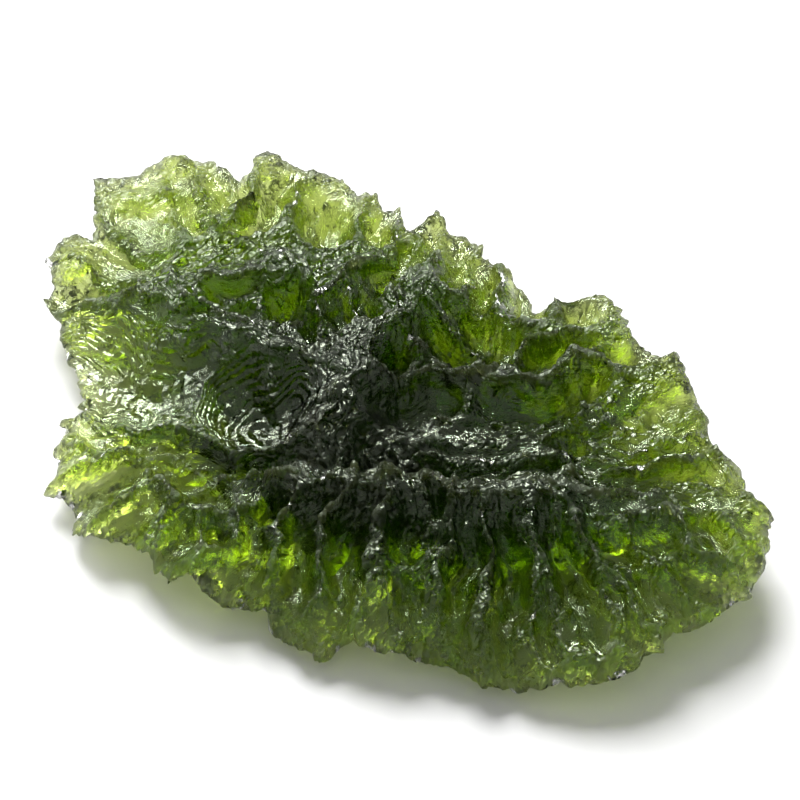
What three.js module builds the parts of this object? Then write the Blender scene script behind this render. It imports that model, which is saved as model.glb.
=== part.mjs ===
// A moldavite: one piece of natural green impact glass, leaf-shaped in plan, with a thin toothed rim.
// Ground acids have etched both faces into furrows and bowls that run out to the rim, and what is left of the
// first surface stands between them as narrow crests. It lies on a small flat spot under its middle.
//
// Sizes are in millimetres. X runs along the stone, Y across it, Z up, and the origin is under the middle
// of the stone, on the surface that it lies on.
import * as THREE from "three";

const RIM_HEIGHT = 3.4; // of the rim above the table, at the middle of the stone
const RIM_CLIMB = 0.1; // how far the rim climbs for each millimetre towards the back
const RIM_WAVE = 0.55; // how far the rim sways up and down on its way round
const RIM_BITE = 0.25; // the share of a furrow's depth that still bends the rim itself
const CROWN_RISE = 3.9; // of the first surface above the rim, before it was etched
const KEEL_DROP = 3.9; // of the underside below the rim, which the flat spot then cuts off
const KEEL_POWER = 1.2; // 1 would make the underside a cone, and more rounds it
const EDGE_THICKNESS = 1.9; // of the glass just inside the rim, where a furrow runs out through it
const EDGE_GROWTH = new THREE.Vector2(0.02, 0.05); // of that thickness, for each millimetre east and back
const WINDOW_THINNING = 0.95; // how much of that the clear window at the great bowl's mouth loses
const CLEARANCE = 0.3; // of the underside above the table, where the edge thickness pushes it down
const RINGS = 28; // rings of faces from the middle out to the rim

const CENTRE = new THREE.Vector2(-1, -0.5);
const OVAL = new THREE.Vector2(23.5, 14.2); // half-lengths of the smooth oval that the inner rings follow

// The rim from above, anticlockwise from the east tip: the tips of its teeth and the notches between them.
const EAST_TIP = [[23.6, 0.2], [23.4, 1.2], [22.6, 3.2], [21.1, 4.3], [19.9, 5.5]];
const NORTH_EAST_RIM = [
  [19.4, 6.0], [18.2, 5.9], [17.2, 6.9], [16.1, 8.1], [15.6, 8.7], [14.5, 9.3], [13.5, 10.4],
  [12.4, 9.9], [10.7, 10.6], [9.5, 11.4], [8.4, 12.7], [7.8, 13.2], [6.8, 13.7], [6.0, 12.9],
  [5.3, 11.8],
];
const NORTH_RIM = [
  [4.9, 11.5], [4.0, 11.0], [3.3, 11.3], [3.1, 12.2], [1.7, 12.4], [0.6, 12.9], [-0.6, 13.0],
  [-1.7, 13.9], [-2.8, 14.2], [-3.8, 13.7], [-5.0, 14.5], [-5.5, 13.2], [-6.1, 12.5], [-7.3, 14.1],
  [-8.3, 13.6], [-9.3, 14.5], [-10.4, 14.4], [-11.9, 14.9], [-13.1, 14.6], [-14.2, 14.2], [-15.6, 14.1],
];
const NORTH_WEST_RIM = [
  [-16.7, 13.9], [-17.1, 13.0], [-16.9, 11.9], [-17.2, 11.1], [-18.3, 11.6], [-19.5, 12.2], [-20.4, 11.8],
  [-22.5, 11.5], [-23.8, 10.4], [-24.9, 9.2], [-25.9, 7.8], [-25.2, 7.0], [-24.7, 5.8], [-24.1, 4.8],
];
const WEST_RIM = [
  [-23.8, 4.0], [-25.0, 3.5], [-25.1, 1.2], [-24.1, 0.0], [-23.7, -1.9], [-22.2, -2.4], [-21.4, -3.6],
  [-20.0, -4.6], [-18.6, -5.7], [-17.6, -6.8], [-17.3, -8.0], [-17.9, -8.8], [-17.4, -9.6], [-17.3, -10.7],
];
const SOUTH_WEST_RIM = [
  [-16.5, -12.0], [-16.3, -13.4], [-15.2, -13.2], [-14.2, -13.6], [-13.6, -14.7], [-12.5, -15.4],
  [-11.5, -14.9], [-10.6, -14.6], [-9.5, -14.7], [-8.3, -15.0], [-7.3, -15.7], [-6.2, -16.1],
  [-5.4, -15.5], [-3.8, -15.9],
];
const SOUTH_RIM = [
  [-2.0, -15.3], [-0.6, -15.0], [0.5, -15.7], [2.2, -15.8], [3.8, -16.2], [4.4, -14.8], [6.3, -14.6],
  [7.6, -14.3], [8.8, -13.6], [10.8, -13.2], [12.8, -13.3], [14.4, -12.7], [16.2, -11.9], [18.0, -10.9],
];
const SOUTH_EAST_RIM = [
  [19.4, -10.1], [20.2, -8.6], [20.8, -7.2], [21.1, -5.9], [22.4, -4.5], [22.7, -3.2], [23.4, -2.3],
  [23.6, -0.8],
];
const RIM = [
  ...EAST_TIP, ...NORTH_EAST_RIM, ...NORTH_RIM, ...NORTH_WEST_RIM,
  ...WEST_RIM, ...SOUTH_WEST_RIM, ...SOUTH_RIM, ...SOUTH_EAST_RIM,
];

// A furrow, ridge or bowl follows a smooth line from its head to its mouth, and widens evenly between them.
const LINE_STEPS = 12;
function form(height, headWidth, mouthWidth, ...line) {
  const points = line.map(([x, y]) => new THREE.Vector2(x, y));
  const curve = new THREE.SplineCurve(points).getPoints(LINE_STEPS);
  const box = new THREE.Box2().setFromPoints(curve).expandByScalar(Math.max(headWidth, mouthWidth));
  return { height, headWidth, mouthWidth, curve, box };
}

// Swells of the first surface, over which the etching then cut: height, half-widths, line.
const RIDGES = [
  form(1.5, 2.6, 2.8, [-2.9, 10.3], [-1.8, 5.3], [-2.3, 0.0], [-2.1, -5.3]),
  form(1.5, 2.6, 2.6, [-2.3, -7.8], [3.8, -7.2], [10.3, -5.0], [16.2, -1.9]),
  form(1.3, 2.2, 2.2, [-16.6, -0.6], [-13.0, 1.1], [-10.1, 4.3]),
  form(1.0, 1.6, 1.8, [-14.7, -1.5], [-8.1, -1.5], [-3.4, -3.2]),
  form(0.9, 1.6, 1.6, [-6.8, 4.0], [-5.5, 5.9], [-4.6, 8.9]),
  form(0.9, 1.8, 1.6, [2.3, 0.5], [6.3, 2.9], [9.7, 6.6]),
];

// The upper face's furrows, by the part of the stone that they drain: depth, half-width at the head and at
// the mouth, line from head to mouth.
// The great bowl opens to the west rim.
const GREAT_BOWL = [
  form(3.4, 3.4, 3.6, [-5.6, -4.6], [-8.6, -4.7]),
  form(4.1, 4.1, 4.5, [-12.0, -5.0], [-15.0, -5.4], [-19.0, -5.6]),
  form(4.4, 1.7, 2.4, [-15.8, -5.0], [-19.8, -4.9]),
];
const WINDOW = form(1.0, 2.0, 2.6, [-16.8, -5.2], [-19.6, -5.0]);
const NORTH_WEST_FURROWS = [
  form(3.2, 2.3, 2.8, [-19.3, 5.3], [-22.4, 7.4], [-24.7, 9.6]),
  form(2.8, 1.4, 1.8, [-17.0, 7.6], [-18.1, 10.0], [-19.3, 12.7]),
  form(2.6, 0.8, 0.9, [-16.2, 8.9], [-17.4, 11.6]),
  form(2.8, 1.5, 1.7, [-18.7, 2.3], [-21.7, 3.0], [-25.1, 3.9]),
  form(2.6, 1.0, 1.2, [-17.7, 0.9], [-20.8, 0.2], [-23.2, -1.2]),
  form(2.0, 0.8, 0.8, [-19.7, 1.7], [-21.5, 0.9]),
];
const NORTH_FURROWS = [
  form(2.8, 1.2, 1.5, [-14.0, 7.4], [-14.3, 10.5], [-14.5, 13.8]),
  form(2.9, 1.8, 2.1, [-10.0, 8.6], [-10.7, 11.6], [-11.6, 14.5]),
  form(2.6, 1.1, 1.4, [-7.1, 10.5], [-7.7, 13.7]),
  form(2.4, 1.0, 1.2, [-16.6, 5.8], [-18.6, 7.3], [-21.0, 10.0]),
  form(2.2, 0.9, 1.0, [-11.5, 8.6], [-12.1, 11.9]),
  form(2.3, 1.7, 1.5, [-4.2, 9.5], [-4.3, 6.2]),
  form(2.4, 1.0, 1.1, [-3.1, 10.4], [-4.3, 12.8]),
  form(2.9, 1.3, 1.7, [-0.9, 8.4], [-1.8, 11.4], [-2.6, 13.9]),
  form(2.6, 0.9, 1.3, [1.4, 7.8], [0.2, 10.5], [-0.8, 12.9]),
];
const WEST_PITS = [
  form(1.9, 1.4, 1.4, [-8.5, 2.5], [-8.5, 2.1]),
  form(1.4, 0.9, 0.9, [-10.9, 1.7], [-12.4, 0.8]),
  form(1.6, 1.0, 1.0, [-6.6, 4.3], [-4.7, 1.8]),
  form(1.5, 0.8, 0.8, [-5.6, 5.6], [-4.0, 3.2]),
  form(1.5, 0.7, 0.7, [-7.5, 3.0], [-5.8, 0.8]),
];
const EAST_FURROWS = [
  form(2.2, 1.3, 1.3, [-0.8, 1.9], [-0.7, 1.3]),
  form(2.4, 1.1, 1.3, [-0.5, 4.4], [1.1, 3.8], [2.8, 3.3]),
  form(2.5, 1.8, 1.4, [0.0, -1.5], [1.5, -0.8], [3.2, 0.3]),
  form(1.9, 1.0, 1.3, [4.0, 0.6], [6.5, 1.8], [8.4, 3.1]),
  form(1.3, 3.0, 3.4, [2.3, -3.1], [7.9, -0.1], [14.5, 4.7]),
  form(1.7, 0.9, 1.0, [0.2, -6.1], [4.7, -4.1], [9.9, -1.0], [14.7, 2.9]),
  form(2.5, 1.0, 1.0, [10.1, 1.3], [10.9, 1.6]),
  form(2.5, 1.3, 1.3, [9.1, 4.5], [9.8, 5.2]),
  form(1.8, 1.2, 1.4, [12.1, 1.8], [13.6, 4.0], [15.1, 7.8]),
  form(2.8, 1.8, 2.0, [2.1, 6.1], [3.6, 5.6]),
  form(3.2, 1.9, 1.9, [3.5, 8.9], [3.1, 11.6]),
  form(3.1, 1.5, 1.6, [6.4, 10.2], [6.8, 11.7]),
  form(2.9, 1.3, 1.6, [10.4, 7.9], [11.2, 9.7]),
  form(2.2, 0.9, 1.1, [6.1, 4.5], [7.0, 6.3], [7.9, 7.8]),
];
const EAST_TIP_FURROWS = [
  form(2.0, 1.2, 1.6, [12.7, -0.7], [16.1, 1.2], [19.2, 3.7]),
  form(1.9, 1.0, 1.3, [13.5, -3.2], [16.5, -0.9], [20.2, 2.1]),
  form(3.1, 1.4, 1.5, [19.2, -0.0], [20.5, -0.6]),
  form(1.8, 1.3, 1.4, [22.1, -1.1], [23.3, -1.5]),
  form(2.2, 1.2, 1.3, [16.5, -2.8], [18.2, -3.0]),
  form(2.6, 1.1, 1.4, [19.2, -3.6], [21.9, -3.2]),
  form(2.6, 1.0, 1.3, [19.8, -5.2], [21.5, -5.2]),
  form(1.5, 1.0, 1.2, [21.1, 1.7], [22.3, 1.4]),
];
const SOUTH_FURROWS = [
  form(3.1, 1.7, 1.5, [4.7, -7.1], [5.6, -9.4]),
  form(2.9, 1.5, 1.8, [6.5, -10.7], [7.2, -12.1], [8.5, -13.2]),
  form(2.9, 0.9, 1.2, [7.6, -6.3], [9.1, -9.2], [10.2, -12.4]),
  form(3.0, 1.1, 1.6, [9.8, -6.0], [11.7, -8.6], [13.6, -11.4]),
  form(2.9, 1.1, 1.6, [12.4, -4.5], [14.5, -6.5], [17.0, -9.2]),
  form(2.6, 1.1, 1.4, [14.2, -3.1], [16.5, -4.4], [19.0, -5.9]),
  form(2.2, 0.8, 1.0, [16.8, -6.4], [19.0, -8.2]),
  form(2.5, 0.9, 1.1, [5.6, -6.0], [6.7, -7.9]),
  form(2.2, 0.7, 0.9, [13.6, -8.1], [15.5, -10.8]),
];
const SOUTH_WEST_FURROWS = [
  form(2.4, 1.3, 1.5, [-1.5, -6.8], [-5.7, -7.8], [-10.6, -9.0], [-16.9, -8.7]),
  form(3.1, 1.9, 1.7, [-5.1, -10.1], [-7.5, -9.9], [-10.0, -10.0]),
  form(3.0, 1.5, 1.9, [-10.9, -10.4], [-12.2, -11.9], [-13.5, -13.8]),
  form(3.0, 1.2, 1.5, [-9.5, -12.0], [-9.8, -13.3], [-10.2, -14.3]),
  form(2.6, 1.0, 1.1, [-5.1, -13.3], [-5.1, -13.5]),
  form(2.7, 1.2, 1.2, [-2.8, -9.6], [-2.6, -10.7]),
  form(2.8, 1.2, 1.9, [-2.5, -12.4], [-2.4, -14.3], [-2.7, -15.4]),
  form(2.8, 1.0, 1.5, [-7.1, -12.4], [-6.5, -14.5], [-6.5, -15.5]),
  form(2.9, 1.1, 1.6, [-0.3, -10.2], [0.5, -13.2], [1.0, -15.2]),
  form(2.9, 1.2, 1.7, [2.1, -8.8], [3.1, -12.7], [3.7, -15.3]),
  form(2.7, 1.1, 1.6, [5.6, -12.9], [6.2, -14.4]),
  form(2.2, 0.8, 1.0, [-0.0, -8.4], [-0.6, -9.8]),
];
const UPPER_FURROWS = [
  ...GREAT_BOWL, ...NORTH_WEST_FURROWS, ...NORTH_FURROWS, ...WEST_PITS, ...EAST_FURROWS, ...EAST_TIP_FURROWS,
  ...SOUTH_FURROWS, ...SOUTH_WEST_FURROWS,
];

// The underside has six wide bowls, and furrows that run out all round, each a golden turn on from the last.
const LOWER_BOWLS = [
  form(1.3, 4.2, 4.6, [-12.5, 3.5], [-18.5, 6.5]),
  form(2.2, 3.4, 4.4, [-10.5, -8.5], [-13.5, -13.0]),
  form(1.0, 3.2, 3.8, [2.0, -7.5], [4.5, -12.5]),
  form(1.2, 3.6, 3.2, [11.5, -3.5], [18.0, -6.5]),
  form(1.1, 3.2, 3.6, [11.0, 4.0], [16.5, 5.5]),
  form(1.0, 3.0, 3.4, [-1.5, 6.5], [0.5, 11.5]),
];
const LOWER_COUNT = 34;
const GOLDEN_TURN = Math.PI * (3 - Math.sqrt(5));
const LOWER_FURROWS = Array.from({ length: LOWER_COUNT }, (_, i) => {
  const turn = i * GOLDEN_TURN;
  const sway = 0.22 * Math.sin(i * 2.3);
  const head = 0.3 + 0.4 * ((i * 0.37) % 1);
  const at = (share, angle) => [
    CENTRE.x + OVAL.x * share * Math.cos(angle),
    CENTRE.y + OVAL.y * share * Math.sin(angle),
  ];
  const width = 1.0 + 0.9 * ((i * 0.61) % 1);
  return form(
    0.9 + 0.9 * ((i * 0.29) % 1), width, width * 1.3,
    at(head, turn), at((head + 1) / 2, turn + sway * 0.4), at(1.06, turn + sway),
  );
});
const LOWER_CUTS = [...LOWER_BOWLS, ...LOWER_FURROWS];

// The height that one form gives at a place: full on its line, less at its head, nothing at its half-width.
const HEAD_SHARE = 0.55;
const HEAD_LENGTH = 0.3;
function heightOf({ height, headWidth, mouthWidth, curve, box }, place, power) {
  let best = 0;
  if (!box.containsPoint(place)) return best;
  const step = new THREE.Vector2();
  const from = new THREE.Vector2();
  for (let i = 1; i < curve.length; i++) {
    step.subVectors(curve[i], curve[i - 1]);
    from.subVectors(place, curve[i - 1]);
    const along = THREE.MathUtils.clamp(from.dot(step) / step.lengthSq(), 0, 1);
    const way = (i - 1 + along) / (curve.length - 1);
    const width = THREE.MathUtils.lerp(headWidth, mouthWidth, way);
    const full = height * THREE.MathUtils.lerp(HEAD_SHARE, 1, Math.min(1, way / HEAD_LENGTH));
    const across = from.addScaledVector(step, -along).length() / width;
    if (across < 1) best = Math.max(best, full * (1 - across * across) ** power);
  }
  return best;
}

// The sum of a few sine waves: radians for each unit along X and along Y, start, and height of each wave.
function waves(list, x, y) {
  const heights = list.map(([alongX, alongY, start, height]) => height * Math.sin(alongX * x + alongY * y + start));
  return heights.reduce((sum, height) => sum + height, 0);
}

// Etched walls are never quite straight, so places are swayed a little before the forms are read.
const SWAY = 0.28;
const SWAY_EAST = [[0, 1.1, 0.6, 1], [-0.9, 2.3, 0, 0.6]];
const SWAY_BACK = [[0.9, 0, 1.7, 1], [2.1, 1.2, 0, 0.6]];
function swayed(x, y) {
  return new THREE.Vector2(x + SWAY * waves(SWAY_EAST, x, y), y + SWAY * waves(SWAY_BACK, x, y));
}

const WALL_POWER = 1; // of a furrow's walls: less would be steeper, with a broader floor
const SWELL_POWER = 1.5; // of a swell's flanks
function etched(furrows, place) {
  return Math.max(0, ...furrows.map((furrow) => heightOf(furrow, place, WALL_POWER)));
}

// A corner takes the mean of the cuts round it, so that a furrow narrower than a face doesn't leave a spike.
const NEAR = 0.7;
const AROUND = [[0, 0], [1, 0], [0.7, 0.7], [0, 1], [-0.7, 0.7], [-1, 0], [-0.7, -0.7], [0, -1], [0.7, -0.7]];
function meanCut(furrows, x, y) {
  const cuts = AROUND.map(([dx, dy]) => etched(furrows, swayed(x + NEAR * dx, y + NEAR * dy)));
  return cuts.reduce((sum, cut) => sum + cut) / cuts.length;
}

// Gullies run down from the spine of the stone to its rim, fanning out round both of its ends.
const SPINE_MIDDLE = new THREE.Vector2(1, -1.5);
const SPINE_HALF = 8;
const FAN_RADIUS = 7;
const GULLIES = 34;
const GULLY_DEPTH = 0.7;
const GULLY_CREST = 0.8; // under 1 makes the crests between the gullies sharp
const GULLY_DRIFT = [[7, 0.5, 0, 1.3], [11, -0.35, 0, 0.9]]; // over the turn and the distance from the spine
const GULLY_START = 0.6;
const GULLY_GROWTH = 3.5;
function gullyAt(x, y) {
  const out = swayed(x, y).sub(SPINE_MIDDLE);
  const past = THREE.MathUtils.clamp(out.x, -SPINE_HALF, SPINE_HALF);
  out.x -= past;
  const wayRound = FAN_RADIUS * Math.atan2(out.y, out.x) + Math.sign(out.y) * (SPINE_HALF - past);
  const turn = (Math.PI * wayRound) / (FAN_RADIUS * Math.PI + 2 * SPINE_HALF);
  const drift = waves(GULLY_DRIFT, turn, out.length());
  const across = Math.abs(Math.sin((GULLIES * turn) / 2 + drift)) ** GULLY_CREST;
  return GULLY_DEPTH * across * THREE.MathUtils.clamp((out.length() - GULLY_START) / GULLY_GROWTH, 0, 1);
}

// The crown is blunt towards the front and the east tip, and fine towards the back and the west.
function bulkAt(x, y) {
  return 1 / (1 + Math.exp(0.6 - 0.12 * x + 0.22 * y));
}
function crownAt(reach, bulk) {
  return CROWN_RISE * (1 - reach ** (3 + 4 * bulk)) ** (0.75 - 0.2 * bulk);
}

// The heights of both faces at a place, where reach is 0 at the middle of the stone and 1 at its rim.
const RIM_WAVES = [[0.42, 0.16, 0.8, 1], [-0.21, 0.37, 0, 1]];
const BOWL_LIP = 0.5; // how deep in the great bowl the gullies have died out
const GULLY_AT_RIM = 0.15; // the share of a gully's depth that is left at the rim
function faces(x, y, reach) {
  const place = swayed(x, y);
  const swell = Math.max(0, ...RIDGES.map((ridge) => heightOf(ridge, place, SWELL_POWER)));
  const cutAbove = meanCut(UPPER_FURROWS, x, y);
  const cutBelow = meanCut(LOWER_CUTS, x, y);
  const inBowl = Math.min(1, etched(GREAT_BOWL, place) / BOWL_LIP);
  const gully = gullyAt(x, y) * (1 - inBowl) * (1 - (1 - GULLY_AT_RIM) * reach ** 6);
  const window = heightOf(WINDOW, place, WALL_POWER);

  const rim = RIM_HEIGHT + RIM_CLIMB * y + RIM_WAVE * reach ** 3 * waves(RIM_WAVES, x, y);
  const rise = crownAt(reach, bulkAt(x, y)) + swell * (1 - reach ** 4);
  const drop = KEEL_DROP * (1 - reach ** KEEL_POWER) + RIM_CLIMB * y * (1 - reach ** 2);
  const kept = 1 - (1 - RIM_BITE) * reach ** 6;
  const bend = RIM_BITE * reach ** 4;
  const thickness = (EDGE_THICKNESS + EDGE_GROWTH.dot(place)) * (1 - WINDOW_THINNING * window);
  const least = thickness * Math.sqrt(1 - reach ** 10);
  let top = rim + rise - cutAbove * kept - gully + bend * cutBelow;
  let bottom = rim - drop + cutBelow * kept - bend * cutAbove;
  bottom = Math.max(0, Math.min(bottom, Math.max(top - least, CLEARANCE)));
  top = Math.max(top, bottom + least);
  return { top, bottom };
}

// The rim's points, evenly spaced along it, as an angle and a distance from the middle.
const rimCurve = new THREE.CurvePath();
RIM.forEach(([x, y], i) => {
  const next = RIM[(i + 1) % RIM.length];
  rimCurve.add(new THREE.LineCurve(new THREE.Vector2(x, y), new THREE.Vector2(...next)));
});
function rimAt(share) {
  const out = rimCurve.getPointAt(share % 1).sub(CENTRE);
  return { angle: Math.atan2(out.y, out.x), distance: out.length() };
}

// A place on a ring: the inner rings follow the smooth oval, and the outer ones take up the teeth.
function placeOn(ring, share) {
  const reach = ring / RINGS;
  const { angle, distance } = rimAt(share);
  const oval = 1 / Math.hypot(Math.cos(angle) / OVAL.x, Math.sin(angle) / OVAL.y);
  const radius = reach * THREE.MathUtils.lerp(oval, distance, reach ** 3);
  return { x: CENTRE.x + radius * Math.cos(angle), y: CENTRE.y + radius * Math.sin(angle), reach };
}

// Both faces are discs of rings with six more corners on each, and they share the corners of the rim.
function stone() {
  const positions = [];
  const topOf = [];
  const bottomOf = [];
  for (let ring = 0; ring <= RINGS; ring++) {
    const corners = Math.max(1, 6 * ring);
    topOf.push([]);
    bottomOf.push([]);
    for (let i = 0; i < corners; i++) {
      const { x, y, reach } = placeOn(ring, i / corners);
      const { top, bottom } = faces(x, y, reach);
      topOf[ring].push(positions.length / 3);
      positions.push(x, y, top);
      if (ring < RINGS) {
        bottomOf[ring].push(positions.length / 3);
        positions.push(x, y, bottom);
      }
    }
  }
  bottomOf[RINGS] = topOf[RINGS];

  const index = [];
  const face = (corners, upwards) => index.push(...(upwards ? corners : corners.reverse()));
  for (const [of, upwards] of [[topOf, true], [bottomOf, false]]) {
    for (let ring = 1; ring <= RINGS; ring++) {
      const outer = (i) => of[ring][i % (6 * ring)];
      const inner = (i) => of[ring - 1][i % Math.max(1, 6 * (ring - 1))];
      for (let sector = 0; sector < 6; sector++) {
        for (let i = 0; i < ring; i++) {
          const out = sector * ring + i;
          const within = sector * (ring - 1) + i;
          face([outer(out), outer(out + 1), inner(within)], upwards);
          if (i < ring - 1) face([outer(out + 1), inner(within + 1), inner(within)], upwards);
        }
      }
    }
  }

  const geometry = new THREE.BufferGeometry();
  geometry.setAttribute("position", new THREE.Float32BufferAttribute(positions, 3));
  geometry.setIndex(index);
  geometry.computeBoundingBox();
  const middle = geometry.boundingBox.getCenter(new THREE.Vector3());
  geometry.translate(-middle.x, -middle.y, -geometry.boundingBox.min.z);
  geometry.computeVertexNormals();
  return geometry;
}

const glass = new THREE.MeshStandardMaterial({ color: 0x4f6b1e, roughness: 0.15, metalness: 0 });
const moldavite = new THREE.Mesh(stone(), glass);
moldavite.name = "moldavite";

const part = new THREE.Group();
part.add(moldavite);
export default part;
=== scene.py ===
"""One moldavite on a pale table: the stone, the table, the lights and the camera, in metres."""
import math

import bpy
import numpy as np
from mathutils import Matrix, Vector


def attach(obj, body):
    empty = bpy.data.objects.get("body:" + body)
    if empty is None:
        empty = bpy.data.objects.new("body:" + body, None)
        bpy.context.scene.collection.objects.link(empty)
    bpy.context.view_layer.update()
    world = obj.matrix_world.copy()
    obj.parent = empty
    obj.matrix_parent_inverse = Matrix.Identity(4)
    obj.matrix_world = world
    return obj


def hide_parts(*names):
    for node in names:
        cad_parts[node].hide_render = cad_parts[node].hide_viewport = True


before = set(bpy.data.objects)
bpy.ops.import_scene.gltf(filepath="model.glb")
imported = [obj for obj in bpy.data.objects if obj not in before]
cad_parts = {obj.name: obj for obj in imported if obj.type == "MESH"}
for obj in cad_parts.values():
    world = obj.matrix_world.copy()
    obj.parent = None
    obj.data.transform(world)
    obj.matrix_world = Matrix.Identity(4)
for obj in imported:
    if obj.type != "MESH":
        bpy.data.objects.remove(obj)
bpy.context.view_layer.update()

# The stone: one piece of natural green impact glass. Ground acids etched both faces into furrows and bowls
# that run out to a thin toothed rim; what is left of the first surface stands between them as scaly crests.
# Its sizes are in millimetres until the mesh is made.
MM = 0.001
RIM_HEIGHT = 3.4  # of the rim above the table, at the middle of the stone
RIM_CLIMB = 0.1  # how far the rim climbs for each millimetre towards the back
CROWN_RISE = 3.9  # of the first surface above the rim, before it was etched
KEEL_DROP = 3.9  # of the underside below the rim, which the flat spot then cuts off
RIM_WAVE = 0.55  # how far the rim sways up and down on its way round
EDGE_THICKNESS = 1.9  # of the glass just inside the rim, where a furrow runs out through it
EDGE_GROWTH_EAST, EDGE_GROWTH_BACK = 0.02, 0.05  # of that thickness, for each millimetre east and back
RIM_BITE = 0.25  # the share of a furrow's depth that still bends the rim itself
WINDOW_THINNING = 0.95  # how much thinner the glass is in the clear window at the great bowl's mouth
CLEARANCE = 0.3  # of the underside above the table, where the edge thickness pushes it down

CENTRE = np.array((-1.0, -0.5))
OVAL = np.array((23.5, 14.2))  # half-lengths of the smooth oval that the inner rings follow

# The rim from above, anticlockwise from the east tip: the tips of its teeth and the notches between them.
EAST_TIP = [[23.6, 0.2], [23.4, 1.2], [22.6, 3.2], [21.1, 4.3], [19.9, 5.5]]
NORTH_EAST_RIM = [
    [19.4, 6.0], [18.2, 5.9], [17.2, 6.9], [16.1, 8.1], [15.6, 8.7], [14.5, 9.3], [13.5, 10.4],
    [12.4, 9.9], [10.7, 10.6], [9.5, 11.4], [8.4, 12.7], [7.8, 13.2], [6.8, 13.7], [6.0, 12.9],
    [5.3, 11.8],
]
NORTH_RIM = [
    [4.9, 11.5], [4.0, 11.0], [3.3, 11.3], [3.1, 12.2], [1.7, 12.4], [0.6, 12.9], [-0.6, 13.0],
    [-1.7, 13.9], [-2.8, 14.2], [-3.8, 13.7], [-5.0, 14.5], [-5.5, 13.2], [-6.1, 12.5], [-7.3, 14.1],
    [-8.3, 13.6], [-9.3, 14.5], [-10.4, 14.4], [-11.9, 14.9], [-13.1, 14.6], [-14.2, 14.2], [-15.6, 14.1],
]
NORTH_WEST_RIM = [
    [-16.7, 13.9], [-17.1, 13.0], [-16.9, 11.9], [-17.2, 11.1], [-18.3, 11.6], [-19.5, 12.2], [-20.4, 11.8],
    [-22.5, 11.5], [-23.8, 10.4], [-24.9, 9.2], [-25.9, 7.8], [-25.2, 7.0], [-24.7, 5.8], [-24.1, 4.8],
]
WEST_RIM = [
    [-23.8, 4.0], [-25.0, 3.5], [-25.1, 1.2], [-24.1, 0.0], [-23.7, -1.9], [-22.2, -2.4], [-21.4, -3.6],
    [-20.0, -4.6], [-18.6, -5.7], [-17.6, -6.8], [-17.3, -8.0], [-17.9, -8.8], [-17.4, -9.6], [-17.3, -10.7],
]
SOUTH_WEST_RIM = [
    [-16.5, -12.0], [-16.3, -13.4], [-15.2, -13.2], [-14.2, -13.6], [-13.6, -14.7], [-12.5, -15.4],
    [-11.5, -14.9], [-10.6, -14.6], [-9.5, -14.7], [-8.3, -15.0], [-7.3, -15.7], [-6.2, -16.1],
    [-5.4, -15.5], [-3.8, -15.9],
]
SOUTH_RIM = [
    [-2.0, -15.3], [-0.6, -15.0], [0.5, -15.7], [2.2, -15.8], [3.8, -16.2], [4.4, -14.8], [6.3, -14.6],
    [7.6, -14.3], [8.8, -13.6], [10.8, -13.2], [12.8, -13.3], [14.4, -12.7], [16.2, -11.9], [18.0, -10.9],
]
SOUTH_EAST_RIM = [
    [19.4, -10.1], [20.2, -8.6], [20.8, -7.2], [21.1, -5.9], [22.4, -4.5], [22.7, -3.2], [23.4, -2.3],
    [23.6, -0.8],
]
RIM = [
    *EAST_TIP, *NORTH_EAST_RIM, *NORTH_RIM, *NORTH_WEST_RIM,
    *WEST_RIM, *SOUTH_WEST_RIM, *SOUTH_RIM, *SOUTH_EAST_RIM,
]


# A furrow, ridge or bowl follows a smooth line from its head to its mouth, and widens evenly between them.
LINE_STEPS = 12


def form(height, head_width, mouth_width, *line):
    """The height and half-widths of a form, with its line made smooth through the places given."""
    points = np.array((line[0], *line, line[-1]), float)
    curve = []
    spans = len(line) - 1
    for i in range(LINE_STEPS + 1):
        span = min(int(i * spans / LINE_STEPS), spans - 1)
        t = i * spans / LINE_STEPS - span
        before, start, end, after = points[span : span + 4]
        leave, arrive = (end - before) / 2, (after - start) / 2
        curve.append(
            (2 * start - 2 * end + leave + arrive) * t**3
            + (3 * end - 3 * start - 2 * leave - arrive) * t**2
            + leave * t
            + start
        )
    return height, head_width, mouth_width, np.array(curve)


# Swells of the first surface, over which the etching then cut: height, half-widths, line.
RIDGES = [
    form(1.5, 2.6, 2.8, [-2.9, 10.3], [-1.8, 5.3], [-2.3, 0.0], [-2.1, -5.3]),
    form(1.5, 2.6, 2.6, [-2.3, -7.8], [3.8, -7.2], [10.3, -5.0], [16.2, -1.9]),
    form(1.3, 2.2, 2.2, [-16.6, -0.6], [-13.0, 1.1], [-10.1, 4.3]),
    form(1.0, 1.6, 1.8, [-14.7, -1.5], [-8.1, -1.5], [-3.4, -3.2]),
    form(0.9, 1.6, 1.6, [-6.8, 4.0], [-5.5, 5.9], [-4.6, 8.9]),
    form(0.9, 1.8, 1.6, [2.3, 0.5], [6.3, 2.9], [9.7, 6.6]),
]

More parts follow.
